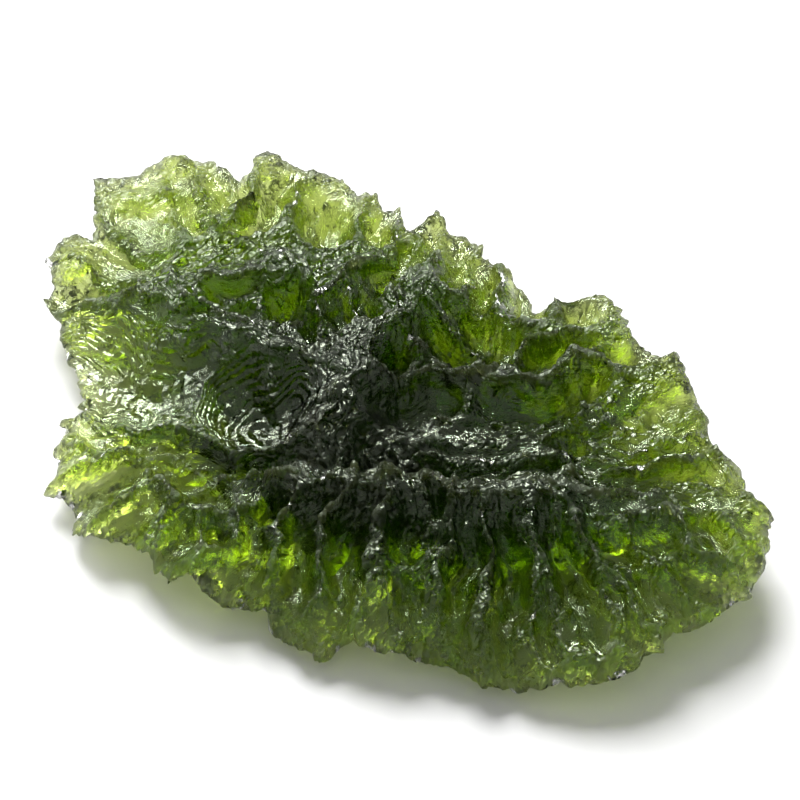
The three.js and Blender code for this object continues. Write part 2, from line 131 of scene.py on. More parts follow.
# The upper face's furrows, by the part of the stone that they drain: depth, half-width at the head and at
# the mouth, line from head to mouth.
# The great bowl opens to the west rim.
GREAT_BOWL = [
    form(3.4, 3.4, 3.6, [-5.6, -4.6], [-8.6, -4.7]),
    form(4.1, 4.1, 4.5, [-12.0, -5.0], [-15.0, -5.4], [-19.0, -5.6]),
    form(4.4, 1.7, 2.4, [-15.8, -5.0], [-19.8, -4.9]),
]
WINDOW = form(1.0, 2.0, 2.6, [-16.8, -5.2], [-19.6, -5.0])
NORTH_WEST_FURROWS = [
    form(3.2, 2.3, 2.8, [-19.3, 5.3], [-22.4, 7.4], [-24.7, 9.6]),
    form(2.8, 1.4, 1.8, [-17.0, 7.6], [-18.1, 10.0], [-19.3, 12.7]),
    form(2.6, 0.8, 0.9, [-16.2, 8.9], [-17.4, 11.6]),
    form(2.8, 1.5, 1.7, [-18.7, 2.3], [-21.7, 3.0], [-25.1, 3.9]),
    form(2.6, 1.0, 1.2, [-17.7, 0.9], [-20.8, 0.2], [-23.2, -1.2]),
    form(2.0, 0.8, 0.8, [-19.7, 1.7], [-21.5, 0.9]),
]
NORTH_FURROWS = [
    form(2.8, 1.2, 1.5, [-14.0, 7.4], [-14.3, 10.5], [-14.5, 13.8]),
    form(2.9, 1.8, 2.1, [-10.0, 8.6], [-10.7, 11.6], [-11.6, 14.5]),
    form(2.6, 1.1, 1.4, [-7.1, 10.5], [-7.7, 13.7]),
    form(2.4, 1.0, 1.2, [-16.6, 5.8], [-18.6, 7.3], [-21.0, 10.0]),
    form(2.2, 0.9, 1.0, [-11.5, 8.6], [-12.1, 11.9]),
    form(2.3, 1.7, 1.5, [-4.2, 9.5], [-4.3, 6.2]),
    form(2.4, 1.0, 1.1, [-3.1, 10.4], [-4.3, 12.8]),
    form(2.9, 1.3, 1.7, [-0.9, 8.4], [-1.8, 11.4], [-2.6, 13.9]),
    form(2.6, 0.9, 1.3, [1.4, 7.8], [0.2, 10.5], [-0.8, 12.9]),
]
WEST_PITS = [
    form(1.9, 1.4, 1.4, [-8.5, 2.5], [-8.5, 2.1]),
    form(1.4, 0.9, 0.9, [-10.9, 1.7], [-12.4, 0.8]),
    form(1.6, 1.0, 1.0, [-6.6, 4.3], [-4.7, 1.8]),
    form(1.5, 0.8, 0.8, [-5.6, 5.6], [-4.0, 3.2]),
    form(1.5, 0.7, 0.7, [-7.5, 3.0], [-5.8, 0.8]),
]
EAST_FURROWS = [
    form(2.2, 1.3, 1.3, [-0.8, 1.9], [-0.7, 1.3]),
    form(2.4, 1.1, 1.3, [-0.5, 4.4], [1.1, 3.8], [2.8, 3.3]),
    form(2.5, 1.8, 1.4, [0.0, -1.5], [1.5, -0.8], [3.2, 0.3]),
    form(1.9, 1.0, 1.3, [4.0, 0.6], [6.5, 1.8], [8.4, 3.1]),
    form(1.3, 3.0, 3.4, [2.3, -3.1], [7.9, -0.1], [14.5, 4.7]),
    form(1.7, 0.9, 1.0, [0.2, -6.1], [4.7, -4.1], [9.9, -1.0], [14.7, 2.9]),
    form(2.5, 1.0, 1.0, [10.1, 1.3], [10.9, 1.6]),
    form(2.5, 1.3, 1.3, [9.1, 4.5], [9.8, 5.2]),
    form(1.8, 1.2, 1.4, [12.1, 1.8], [13.6, 4.0], [15.1, 7.8]),
    form(2.8, 1.8, 2.0, [2.1, 6.1], [3.6, 5.6]),
    form(3.2, 1.9, 1.9, [3.5, 8.9], [3.1, 11.6]),
    form(3.1, 1.5, 1.6, [6.4, 10.2], [6.8, 11.7]),
    form(2.9, 1.3, 1.6, [10.4, 7.9], [11.2, 9.7]),
    form(2.2, 0.9, 1.1, [6.1, 4.5], [7.0, 6.3], [7.9, 7.8]),
]
EAST_TIP_FURROWS = [
    form(2.0, 1.2, 1.6, [12.7, -0.7], [16.1, 1.2], [19.2, 3.7]),
    form(1.9, 1.0, 1.3, [13.5, -3.2], [16.5, -0.9], [20.2, 2.1]),
    form(3.1, 1.4, 1.5, [19.2, -0.0], [20.5, -0.6]),
    form(1.8, 1.3, 1.4, [22.1, -1.1], [23.3, -1.5]),
    form(2.2, 1.2, 1.3, [16.5, -2.8], [18.2, -3.0]),
    form(2.6, 1.1, 1.4, [19.2, -3.6], [21.9, -3.2]),
    form(2.6, 1.0, 1.3, [19.8, -5.2], [21.5, -5.2]),
    form(1.5, 1.0, 1.2, [21.1, 1.7], [22.3, 1.4]),
]
SOUTH_FURROWS = [
    form(3.1, 1.7, 1.5, [4.7, -7.1], [5.6, -9.4]),
    form(2.9, 1.5, 1.8, [6.5, -10.7], [7.2, -12.1], [8.5, -13.2]),
    form(2.9, 0.9, 1.2, [7.6, -6.3], [9.1, -9.2], [10.2, -12.4]),
    form(3.0, 1.1, 1.6, [9.8, -6.0], [11.7, -8.6], [13.6, -11.4]),
    form(2.9, 1.1, 1.6, [12.4, -4.5], [14.5, -6.5], [17.0, -9.2]),
    form(2.6, 1.1, 1.4, [14.2, -3.1], [16.5, -4.4], [19.0, -5.9]),
    form(2.2, 0.8, 1.0, [16.8, -6.4], [19.0, -8.2]),
    form(2.5, 0.9, 1.1, [5.6, -6.0], [6.7, -7.9]),
    form(2.2, 0.7, 0.9, [13.6, -8.1], [15.5, -10.8]),
]
SOUTH_WEST_FURROWS = [
    form(2.4, 1.3, 1.5, [-1.5, -6.8], [-5.7, -7.8], [-10.6, -9.0], [-16.9, -8.7]),
    form(3.1, 1.9, 1.7, [-5.1, -10.1], [-7.5, -9.9], [-10.0, -10.0]),
    form(3.0, 1.5, 1.9, [-10.9, -10.4], [-12.2, -11.9], [-13.5, -13.8]),
    form(3.0, 1.2, 1.5, [-9.5, -12.0], [-9.8, -13.3], [-10.2, -14.3]),
    form(2.6, 1.0, 1.1, [-5.1, -13.3], [-5.1, -13.5]),
    form(2.7, 1.2, 1.2, [-2.8, -9.6], [-2.6, -10.7]),
    form(2.8, 1.2, 1.9, [-2.5, -12.4], [-2.4, -14.3], [-2.7, -15.4]),
    form(2.8, 1.0, 1.5, [-7.1, -12.4], [-6.5, -14.5], [-6.5, -15.5]),
    form(2.9, 1.1, 1.6, [-0.3, -10.2], [0.5, -13.2], [1.0, -15.2]),
    form(2.9, 1.2, 1.7, [2.1, -8.8], [3.1, -12.7], [3.7, -15.3]),
    form(2.7, 1.1, 1.6, [5.6, -12.9], [6.2, -14.4]),
    form(2.2, 0.8, 1.0, [-0.0, -8.4], [-0.6, -9.8]),
]
UPPER_FURROWS = [
    *GREAT_BOWL, *NORTH_WEST_FURROWS, *NORTH_FURROWS, *WEST_PITS, *EAST_FURROWS, *EAST_TIP_FURROWS,
    *SOUTH_FURROWS, *SOUTH_WEST_FURROWS,
]

# The underside has seven wide bowls, the last of which thins the glass under the great bowl, and furrows that
# run out all round, each a golden turn on from the last.
LOWER_BOWLS = [
    form(1.3, 4.2, 4.6, [-12.5, 3.5], [-18.5, 6.5]),
    form(2.2, 3.4, 4.4, [-10.5, -8.5], [-13.5, -13.0]),
    form(1.0, 3.2, 3.8, [2.0, -7.5], [4.5, -12.5]),
    form(1.2, 3.6, 3.2, [11.5, -3.5], [18.0, -6.5]),
    form(1.1, 3.2, 3.6, [11.0, 4.0], [16.5, 5.5]),
    form(1.0, 3.0, 3.4, [-1.5, 6.5], [0.5, 11.5]),
    form(1.2, 3.0, 3.2, [-8.2, -4.8], [-13.0, -5.0]),
]
LOWER_COUNT = 34
GOLDEN_TURN = math.pi * (3 - math.sqrt(5))
LOWER_SWAY = 0.22  # of a furrow to one side on its way out, in radians
LOWER_STARTS = (0.3, 0.4)  # the share of the way out where furrows start: the least, and what is added
LOWER_END = 1.06
LOWER_WIDTHS = (1.0, 0.9)  # half-widths at their heads: the least, and what is added
LOWER_DEPTHS = (0.9, 0.9)
LOWER_SPREAD = 1.3  # how much wider they are at their mouths
LOWER_CUTS = list(LOWER_BOWLS)


def mixed(sizes, i, stride):
    """The least size and a share of what is added to it, a new share for each furrow."""
    least, added = sizes
    return least + added * (i * stride % 1)


for i in range(LOWER_COUNT):
    turn = i * GOLDEN_TURN
    sway = LOWER_SWAY * math.sin(i * 2.3)
    start = mixed(LOWER_STARTS, i, 0.37)
    width = mixed(LOWER_WIDTHS, i, 0.61)
    stops = ((start, turn), ((start + 1) / 2, turn + sway * 0.4), (LOWER_END, turn + sway))
    line = [CENTRE + OVAL * share * (math.cos(angle), math.sin(angle)) for share, angle in stops]
    LOWER_CUTS.append(form(mixed(LOWER_DEPTHS, i, 0.29), width, width * LOWER_SPREAD, *line))

# Each face is a disc of rings of corners, spread evenly along the rim. The upper one is the finer.
RIM_CORNERS = 960
UPPER_RINGS, UPPER_CORNERS = 132, 960
LOWER_RINGS, LOWER_CORNERS = 88, 700


def disc(rings, corners):
    """How far out and how far round each corner is, and each ring's first corner and its count of corners."""
    counts = np.maximum(1, np.round(np.arange(rings + 1) * corners / rings).astype(int))
    counts[0], counts[-1] = 1, RIM_CORNERS
    first = np.cumsum(counts) - counts
    ring_of = np.repeat(np.arange(rings + 1), counts)
    share = (np.arange(counts.sum()) - first[ring_of]) / counts[ring_of]
    return ring_of / rings, share, first, counts


def strips(first, counts):
    """The faces between each ring and the next, anticlockwise from above."""
    made = []
    for inner, outer in zip(range(len(counts) - 1), range(1, len(counts))):
        fewer, more = counts[inner], counts[outer]
        out = np.arange(more)
        within = -((more - (2 * out + 1) * fewer) // (2 * more)) % fewer
        after = first[outer] + (out + 1) % more
        made.append(np.stack((first[outer] + out, after, first[inner] + within), axis=1))
        if fewer > 1:
            within = np.arange(fewer)
            out = (((2 * within + 1) * more - fewer) // (2 * fewer) + 1) % more
            after = first[inner] + (within + 1) % fewer
            made.append(np.stack((first[outer] + out, after, first[inner] + within), axis=1))
    return np.concatenate(made)


upper_reach, upper_share, upper_first, upper_counts = disc(UPPER_RINGS, UPPER_CORNERS)
lower_reach, lower_share, lower_first, lower_counts = disc(LOWER_RINGS, LOWER_CORNERS)
split = len(upper_reach)
reach = np.append(upper_reach, lower_reach)
share = np.append(upper_share, lower_share)
rim = np.array(RIM + RIM[:1], float) - CENTRE
travelled = np.append(0, np.cumsum(np.hypot(*np.diff(rim, axis=0).T)))
rim_x = np.interp(share * travelled[-1], travelled, rim[:, 0])
rim_y = np.interp(share * travelled[-1], travelled, rim[:, 1])

# Small teeth stand all round the rim, no two alike.
TOOTH_COUNT = 110
TOOTH_SHIFT = 0.45  # at most, as a share of the way to the next tooth
TOOTH_LEAST, TOOTH_ADDED = 0.05, 0.4  # heights
TOOTH_HALF_WIDTHS = (0.3, 0.8)
TOOTH_INSET = 0.1  # of the notches between the teeth
TOOTH_FADE = 24  # the power of reach by which the teeth fade inwards
chance = np.random.default_rng(11)
tooth_at = (np.arange(TOOTH_COUNT) + chance.uniform(-TOOTH_SHIFT, TOOTH_SHIFT, TOOTH_COUNT)) / TOOTH_COUNT
tooth_high = TOOTH_ADDED * chance.random(TOOTH_COUNT) ** 1.3 + TOOTH_LEAST
tooth_wide = chance.uniform(*TOOTH_HALF_WIDTHS, TOOTH_COUNT) / travelled[-1]
away = np.abs((share[:, None] - tooth_at + 0.5) % 1 - 0.5)
tooth = (tooth_high * np.clip(1 - away / tooth_wide, 0, None)).max(axis=1)

# The inner rings follow a smooth oval, and the outer ones take on the shape of the rim.
distance = np.hypot(rim_x, rim_y)
angle = np.arctan2(rim_y, rim_x)
oval = 1 / np.hypot(np.cos(angle) / OVAL[0], np.sin(angle) / OVAL[1])
radius = reach * (oval + (distance - oval) * reach**3) + (tooth - TOOTH_INSET) * reach**TOOTH_FADE
x = CENTRE[0] + radius * np.cos(angle)
y = CENTRE[1] + radius * np.sin(angle)

# A furrow's head is shallower than the rest of it.
HEAD_SHARE = 0.55
HEAD_LENGTH = 0.3
APART = 3.7  # between one form and the next in the third number of a flow, so that no two share a pattern


def laid(forms, x, y, power):
    """The height that the highest form gives at each place, and how far along and across it the place is."""
    best = np.zeros_like(x)
    flow = np.zeros((len(x), 3))
    for number, (height, head_width, mouth_width, line) in enumerate(forms):
        widest = max(head_width, mouth_width)
        low, high = line.min(axis=0) - widest, line.max(axis=0) + widest
        near = np.flatnonzero((x > low[0]) & (x < high[0]) & (y > low[1]) & (y < high[1]))
        run = 0.0
        for i, (start, step) in enumerate(zip(line, np.diff(line, axis=0))):
            length = math.hypot(*step)
            away_x, away_y = x[near] - start[0], y[near] - start[1]
            along = np.clip((away_x * step[0] + away_y * step[1]) / length**2, 0, 1)
            way = (i + along) / (len(line) - 1)
            width = head_width + (mouth_width - head_width) * way
            full = height * (HEAD_SHARE + (1 - HEAD_SHARE) * np.minimum(1, way / HEAD_LENGTH))
            off_x, off_y = away_x - along * step[0], away_y - along * step[1]
            off = np.hypot(off_x, off_y)
            here = full * np.clip(1 - (off / width) ** 2, 0, None) ** power
            wins = here > best[near]
            best[near[wins]] = here[wins]
            side = np.sign(step[0] * off_y - step[1] * off_x)
            flow[near[wins]] = np.stack(
                (run + along[wins] * length, (side * off)[wins], np.full(wins.sum(), APART * number)), axis=1
            )
            run += length
    return best, flow


# Etched walls are never quite straight, so places are swayed a little before the forms are read.
SWAY = 0.28
WALL_POWER = 1.0
SWELL_POWER = 1.5
sway_x = x + SWAY * (np.sin(1.1 * y + 0.6) + 0.6 * np.sin(2.3 * y - 0.9 * x))
sway_y = y + SWAY * (np.sin(0.9 * x + 1.7) + 0.6 * np.sin(2.1 * x + 1.2 * y))
swell, along_swell = laid(RIDGES, sway_x, sway_y, SWELL_POWER)
cut_above, flow_above = laid(UPPER_FURROWS, sway_x, sway_y, WALL_POWER)
cut_below, flow_below = laid(LOWER_CUTS, sway_x, sway_y, WALL_POWER)
BOWL_LIP = 0.6  # how deep the great bowl is where its smooth floor starts
bowl = np.clip(laid(GREAT_BOWL, sway_x, sway_y, WALL_POWER)[0] - BOWL_LIP, 0, 1)
window = laid([WINDOW], sway_x, sway_y, WALL_POWER)[0]

# Long plates cover the crests and lie along each ridge. Each place has its way along and across them.
ACROSS = np.array((0.91, -0.41))  # the way that the plates rise
LEAST_SWELL = 0.1  # where a ridge starts to lead them
RIDGE_APART = np.array((0, 0, 5))  # keeps a ridge's plates apart from those around it
plates = np.stack((-ACROSS[1] * x + ACROSS[0] * y, ACROSS[0] * x + ACROSS[1] * y, 0 * x), axis=1)
for number, (_, _, _, line) in enumerate(RIDGES):
    led = (swell > LEAST_SWELL) & (np.abs(along_swell[:, 2] - APART * number) < APART / 2)
    ridge_run = line[-1] - line[0]
    turned = np.sign(ACROSS @ (-ridge_run[1], ridge_run[0]))
    plates[led] = along_swell[led] * (1, turned, 1) + RIDGE_APART

# Gullies run down from the spine of the stone to its rim, fanning out round both of its ends. They wander on
# their way down, and a finer set lies among them.
SPINE_MIDDLE = (1.0, -1.5)
SPINE_HALF_LENGTH = 8.0
SPINE_HALF_WIDTH = 0.6
FAN_RADIUS = 7.0
GULLIES = 34
GULLY_DEPTH = 0.6
FINER_GULLIES = 58
FINER_DEPTH = 0.3
GULLY_START = 3.5  # how far from the spine's edge they reach their whole depth
GULLY_RIM_LOSS = 0.85  # the share of their depth that they lose on the way to the rim
spine_x, spine_y = sway_x - SPINE_MIDDLE[0], sway_y - SPINE_MIDDLE[1]
past = np.clip(spine_x, -SPINE_HALF_LENGTH, SPINE_HALF_LENGTH)
fan = np.arctan2(spine_y, spine_x - past)
way_round = FAN_RADIUS * fan + np.sign(spine_y) * (SPINE_HALF_LENGTH - past)
off_spine = np.hypot(spine_x - past, spine_y)
turn = math.pi * way_round / (FAN_RADIUS * math.pi + 2 * SPINE_HALF_LENGTH)
drift = 1.3 * np.sin(7 * turn + 0.5 * off_spine) + 0.9 * np.sin(11 * turn - 0.35 * off_spine)
gully = GULLY_DEPTH * np.abs(np.sin(GULLIES * turn / 2 + drift)) ** 0.8
finer = FINER_DEPTH * np.abs(np.sin(FINER_GULLIES * turn / 2 + 1.7 * drift + 0.25 * off_spine))
gully = (gully + finer) * np.clip((off_spine - SPINE_HALF_WIDTH) / GULLY_START, 0, 1)
gully = gully * (1 - bowl) * (1 - GULLY_RIM_LOSS * reach**6)

# A sheaf of thin blades runs along the east crest, with narrow grooves between them.
SHEAF = form(1.0, 2.8, 3.6, [0.3, -4.7], [7.9, -1.3], [17.5, 3.8])
BLADE_DEPTH = 0.75
BLADE_TURN = 2.7  # of the grooves' wave, for each millimetre across them
BLADE_SPREAD = 0.015  # by which the blades part, for each millimetre along them
BLADE_SWAY = 0.25
SHEAF_POWER = 0.6
sheaf, along_sheaf = laid([SHEAF], sway_x, sway_y, SHEAF_POWER)
sheaf_along, sheaf_across, _ = along_sheaf.T
across = sheaf_across * (1 - BLADE_SPREAD * sheaf_along) + BLADE_SWAY * np.sin(0.5 * sheaf_along)
blades = BLADE_DEPTH * sheaf * np.abs(np.sin(BLADE_TURN * across)) ** 0.7

# The first surface, the etching that cut it on both sides, and the least thickness that the etching left. The
# stone is bulkier, with steeper sides, towards its south-east.
BULK_START, BULK_EAST, BULK_BACK = 0.6, 0.12, 0.22
wave = RIM_WAVE * reach**3 * (np.sin(0.42 * x + 0.16 * y + 0.8) + np.sin(0.37 * y - 0.21 * x))
rim_level = RIM_HEIGHT + RIM_CLIMB * y + wave
rim_share = (1 - RIM_BITE) * reach**6
bend = RIM_BITE * reach**4
bulk = 1 / (1 + np.exp(BULK_START - BULK_EAST * x + BULK_BACK * y))
rise = CROWN_RISE * (1 - reach ** (3 + 4 * bulk)) ** (0.75 - 0.2 * bulk) + swell * (1 - reach**4)
drop = KEEL_DROP * (1 - reach**1.2) + RIM_CLIMB * y * (1 - reach**2)
top = rim_level + rise - cut_above * (1 - rim_share) - gully - blades + bend * cut_below
bottom = rim_level - drop + cut_below * (1 - rim_share) - bend * cut_above
thickness = EDGE_THICKNESS + EDGE_GROWTH_EAST * sway_x + EDGE_GROWTH_BACK * sway_y
thickness = thickness * (1 - WINDOW_THINNING * window)
least = thickness * np.sqrt(1 - reach**10)
bottom = np.maximum(0, np.minimum(bottom, np.maximum(top - least, CLEARANCE)))
top = np.maximum(top, bottom + least)

# The two faces share the corners of the rim.
height = np.where(np.arange(len(x)) < split, top, bottom)
kept = len(x) - RIM_CORNERS
corners = np.stack((x, y, height), axis=1)[:kept]
middle = (corners.max(axis=0) + corners.min(axis=0)) / 2
corners -= (middle[0], middle[1], corners[:, 2].min())
lower = strips(lower_first, lower_counts) + split
lower = np.where(lower < kept, lower, lower - kept + upper_first[-1])
faces = np.concatenate((strips(upper_first, upper_counts), lower[:, ::-1]))

stone_mesh = bpy.data.meshes.new("moldavite")
stone_mesh.from_pydata((corners * MM).tolist(), [], faces.tolist())

# The underside keeps only part of the fine relief, save near the rim, where the upper face loses some of it.
CALM = 0.65
RIM_CALM = 0.35
upper = np.arange(kept) < split
calm_share = np.where(upper, RIM_CALM * reach[:kept] ** 12, CALM * (1 - reach[:kept] ** 5))

# What the relief and the glass read at each corner: how far along and across its furrow it is, the furrow's
# depth, the great bowl's floor, how far along and across the plates it is, and the share of the fine relief
# that is missing.
for name, values in {
    "flow": np.where(upper[:, None], flow_above[:kept], flow_below[:kept]),
    "cut": np.where(upper, cut_above[:kept], cut_below[:kept]),
    "bowl": np.where(upper, bowl[:kept], 0),
    "plates": plates[:kept],
    "calm": calm_share,
}.items():
    if values.ndim == 2:
        stone_mesh.attributes.new(name, "FLOAT_VECTOR", "POINT").data.foreach_set("vector", values.ravel())
    else:
        stone_mesh.attributes.new(name, "FLOAT", "POINT").data.foreach_set("value", values)


def add(tree, kind, inputs, output=0, **settings):
    """A node with its settings, its inputs set or linked, and the wanted output handed back."""
    node = tree.nodes.new(kind)
    for name, value in settings.items():
        setattr(node, name, value)
    for name, value in inputs.items():
        if isinstance(value, bpy.types.NodeSocket):
            tree.links.new(value, node.inputs[name])
        else:
            node.inputs[name].default_value = value
    return node.outputs[output]


# The fine relief: streaks along the furrows, terraces on their walls, and grain and leaning plates on the
# crests. Its sizes are in millimetres.
relief = bpy.data.node_groups.new("Etched relief", "GeometryNodeTree")
relief.interface.new_socket("Geometry", in_out="INPUT", socket_type="NodeSocketGeometry")
RELIEF_SIZES = {"Rough": 0.1, "Streaks": 0.2, "Terraces": 0.07, "Grain": 0.1, "Plates": 0.5, "Lean": 0.26}
for name in RELIEF_SIZES:
    relief.interface.new_socket(name, in_out="INPUT", socket_type="NodeSocketFloat")
relief.interface.new_socket("Glass", in_out="INPUT", socket_type="NodeSocketMaterial")
relief.interface.new_socket("Geometry", in_out="OUTPUT", socket_type="NodeSocketGeometry")
given = relief.nodes.new("NodeGroupInput").outputs


def maths(operation, a, b=0.0, c=0.0):
    """One step of arithmetic on numbers in the relief."""
    return add(relief, "ShaderNodeMath", {0: a, 1: b, 2: c}, operation=operation)


def vectors(operation, inputs, output=0):
    """One step of arithmetic on places in the relief."""
    return add(relief, "ShaderNodeVectorMath", inputs, output, operation=operation)


def eased(value, low, high):
    """A smooth climb from 0 to 1 while the value goes from low to high."""
    reading = {"Value": value, "From Min": low, "From Max": high}
    return add(relief, "ShaderNodeMapRange", reading, interpolation_type="SMOOTHSTEP")


def read(name, data_type="FLOAT"):
    """What was kept at each corner under the name."""
    return add(relief, "GeometryNodeInputNamedAttribute", {"Name": name}, "Attribute", data_type=data_type)


position = add(relief, "GeometryNodeInputPosition", {})
normal = add(relief, "GeometryNodeInputNormal", {})
in_mm = vectors("SCALE", {0: position, "Scale": 1 / MM})
flow = read("flow", "FLOAT_VECTOR")
cut = read("cut")
in_bowl = read("bowl")
lively = maths("SUBTRACT", 1.0, read("calm"))
blur = {"Value": in_mm, "Iterations": 14}
blurred = add(relief, "GeometryNodeBlurAttribute", blur, data_type="FLOAT_VECTOR")
proud = vectors("DOT_PRODUCT", {0: vectors("SUBTRACT", {0: in_mm, 1: blurred}), 1: normal}, "Value")
PROUD = (-0.01, 0.07)  # how far a place stands above those round it, in a furrow and on a crest
CREST_CUT = (0.9, 0.2)  # how deep it is cut, in a furrow and on a crest
crest = maths("MAXIMUM", eased(proud, *PROUD), eased(cut, *CREST_CUT))
furrow = maths("SUBTRACT", 1.0, crest)

# Each pattern is bent a little, so that nothing runs straight. Where it is stretched, the three numbers are
# how fast it changes along, across and between the forms.
NOISE_MEAN = 0.5
ROUGH_BEND = (1.6, 1.6, 1.6)
STREAK_BEND, STREAK_STRETCH = 1.5, (0.5, 2.3, 1.0)
warp = add(relief, "ShaderNodeTexNoise", {"Vector": in_mm, "Scale": 0.5, "Detail": 2.0}, "Color")
warped = vectors("MULTIPLY_ADD", {0: warp, 1: ROUGH_BEND, 2: in_mm})
ridged = {
    "Vector": warped, "Scale": 0.62, "Detail": 4.0, "Roughness": 0.55,
    "Lacunarity": 2.2, "Offset": 0.95, "Gain": 1.8,
}
rough = add(relief, "ShaderNodeTexNoise", ridged, noise_type="RIDGED_MULTIFRACTAL", normalize=False)
ROUGH_MOST = 2.4  # where the noise is cut off, so that no spike stands out
rough = maths("SUBTRACT", maths("MINIMUM", rough, ROUGH_MOST), ROUGH_MOST / 2)
streak_warp = vectors("SCALE", {0: warp, "Scale": STREAK_BEND})
stretched = vectors("MULTIPLY_ADD", {0: flow, 1: STREAK_STRETCH, 2: streak_warp})
streaked = {"Vector": stretched, "Scale": 1.0, "Detail": 3.0, "Roughness": 0.55}
streaks = add(relief, "ShaderNodeTexNoise", streaked)
streaks = maths("ABSOLUTE", maths("SUBTRACT", streaks, NOISE_MEAN))
STREAK_MEAN, STREAK_GAIN = 0.16, 3.0
streaks = maths("MULTIPLY", maths("SUBTRACT", STREAK_MEAN, streaks), STREAK_GAIN)
slow = add(relief, "ShaderNodeTexNoise", {"Vector": in_mm, "Scale": 0.35, "Detail": 1.0})
TERRACE_TURN, TERRACE_DRIFT, TERRACE_MEAN = 6.5, 7.0, 0.6
terraces = maths("SINE", maths("MULTIPLY_ADD", slow, TERRACE_DRIFT, maths("MULTIPLY", cut, TERRACE_TURN)))
terraces = maths("SUBTRACT", TERRACE_MEAN, maths("ABSOLUTE", terraces))
grain = add(relief, "ShaderNodeTexNoise", {"Vector": in_mm, "Scale": 2.4, "Detail": 2.0, "Roughness": 0.6})
grain = maths("SUBTRACT", grain, NOISE_MEAN)

# The great bowl's floor has less of the rough, no streaks and more of the terraces.
BOWL_ROUGH = -0.2
TERRACES_OUTSIDE, TERRACES_ADDED = 0.3, 0.7
FURROW_GRAIN = 0.4
moved = maths("MULTIPLY", rough, given["Rough"])
moved = maths("MULTIPLY", moved, maths("MULTIPLY_ADD", in_bowl, BOWL_ROUGH, 1.0))
streak_share = maths("MULTIPLY", furrow, maths("SUBTRACT", 1.0, in_bowl))
terrace_share = maths("MULTIPLY", furrow, maths("MULTIPLY_ADD", in_bowl, TERRACES_ADDED, TERRACES_OUTSIDE))
moved = maths("MULTIPLY_ADD", maths("MULTIPLY", streaks, streak_share), given["Streaks"], moved)
moved = maths("MULTIPLY_ADD", maths("MULTIPLY", terraces, terrace_share), given["Terraces"], moved)
grain_share = maths("MULTIPLY", given["Grain"], maths("ADD", crest, FURROW_GRAIN))
moved = maths("MULTIPLY_ADD", grain, grain_share, moved)

# A plate is flat in its middle, falls off to its edge and leans, so that one side of it stands over the next.
FLAT_MIDDLE = 0.15
EDGE_FALL = 1.5
FURROW_PLATES = 0.12  # the share of the plates' height that is left in the furrows
PLATE_BEND, PLATE_STRETCH = 1.1, (0.5, 1.15, 1.0)
plate_run = read("plates", "FLOAT_VECTOR")
plate_warp = vectors("SCALE", {0: warp, "Scale": PLATE_BEND})
plate_run = vectors("MULTIPLY_ADD", {0: plate_run, 1: PLATE_STRETCH, 2: plate_warp})
from_middle = add(relief, "ShaderNodeTexVoronoi", {"Vector": plate_run, "Scale": 1.9})
leaning = vectors("SUBTRACT", {0: plate_run, 1: from_middle.node.outputs["Position"]})
leaning = add(relief, "ShaderNodeSeparateXYZ", {"Vector": leaning}, "Y")
edge = maths("MAXIMUM", maths("SUBTRACT", from_middle, FLAT_MIDDLE), 0.0)
plate = maths("SUBTRACT", FLAT_MIDDLE, maths("MULTIPLY", edge, maths("MULTIPLY", edge, EDGE_FALL)))
plate = maths("MULTIPLY_ADD", leaning, given["Lean"], maths("MULTIPLY", plate, given["Plates"]))
moved = maths("MULTIPLY_ADD", plate, maths("MAXIMUM", crest, FURROW_PLATES), moved)

# The relief dies out towards the flat spot, and nothing sinks below the table.
STILL_HEIGHT = 0.8
level = add(relief, "ShaderNodeSeparateXYZ", {"Vector": in_mm}, "Z")
moved = maths("MULTIPLY", moved, maths("MULTIPLY", lively, eased(level, 0.0, STILL_HEIGHT)))
offset = vectors("SCALE", {0: normal, "Scale": maths("MULTIPLY", moved, MM)})
mark = {"Geometry": given["Geometry"], "Name": "crest", "Value": crest}
marked = add(relief, "GeometryNodeStoreNamedAttribute", mark, data_type="FLOAT", domain="POINT")
etched = add(relief, "GeometryNodeSetPosition", {"Geometry": marked, "Offset": offset})
sunk = add(relief, "ShaderNodeSeparateXYZ", {"Vector": position}, "Z")
lift = add(relief, "ShaderNodeCombineXYZ", {"Z": maths("MAXIMUM", maths("MULTIPLY", sunk, -1.0), 0.0)})
stood = add(relief, "GeometryNodeSetPosition", {"Geometry": etched, "Offset": lift})
glazed = add(relief, "GeometryNodeSetMaterial", {"Geometry": stood, "Material": given["Glass"]})
whole = add(relief, "GeometryNodeRealizeInstances", {"Geometry": glazed})
relief.links.new(whole, relief.nodes.new("NodeGroupOutput").inputs["Geometry"])

# The glass is clear green: near colourless where it is thin and close to black where it is thick. It is
# glossy in the furrows and duller on the worn crests.
glass = bpy.data.materials.new("moldavite glass")
glass.use_nodes = True
tree = glass.node_tree
shader = tree.nodes["Principled BSDF"]
shader.inputs["Base Color"].default_value = (0.6, 0.65, 0.4, 1)
shader.inputs["Transmission Weight"].default_value = 1.0
shader.inputs["IOR"].default_value = 1.49
shader.inputs["Specular Tint"].default_value = (0.86, 1.0, 0.72, 1)
absorb = tree.nodes.new("ShaderNodeVolumeAbsorption")
absorb.inputs["Color"].default_value = (0.635, 0.72, 0.02, 1)
absorb.inputs["Density"].default_value = 1150.0
tree.links.new(absorb.outputs["Volume"], tree.nodes["Material Output"].inputs["Volume"])
here = add(tree, "ShaderNodeTexCoord", {}, "Object")
worn = add(tree, "ShaderNodeAttribute", {}, "Fac", attribute_name="crest")
frost = add(tree, "ShaderNodeTexNoise", {"Vector": here, "Scale": 900.0, "Detail": 3.0})
dull = add(tree, "ShaderNodeMath", {0: worn, 1: frost}, operation="MULTIPLY")
GLOSSY, DULL = 0.07, 0.34
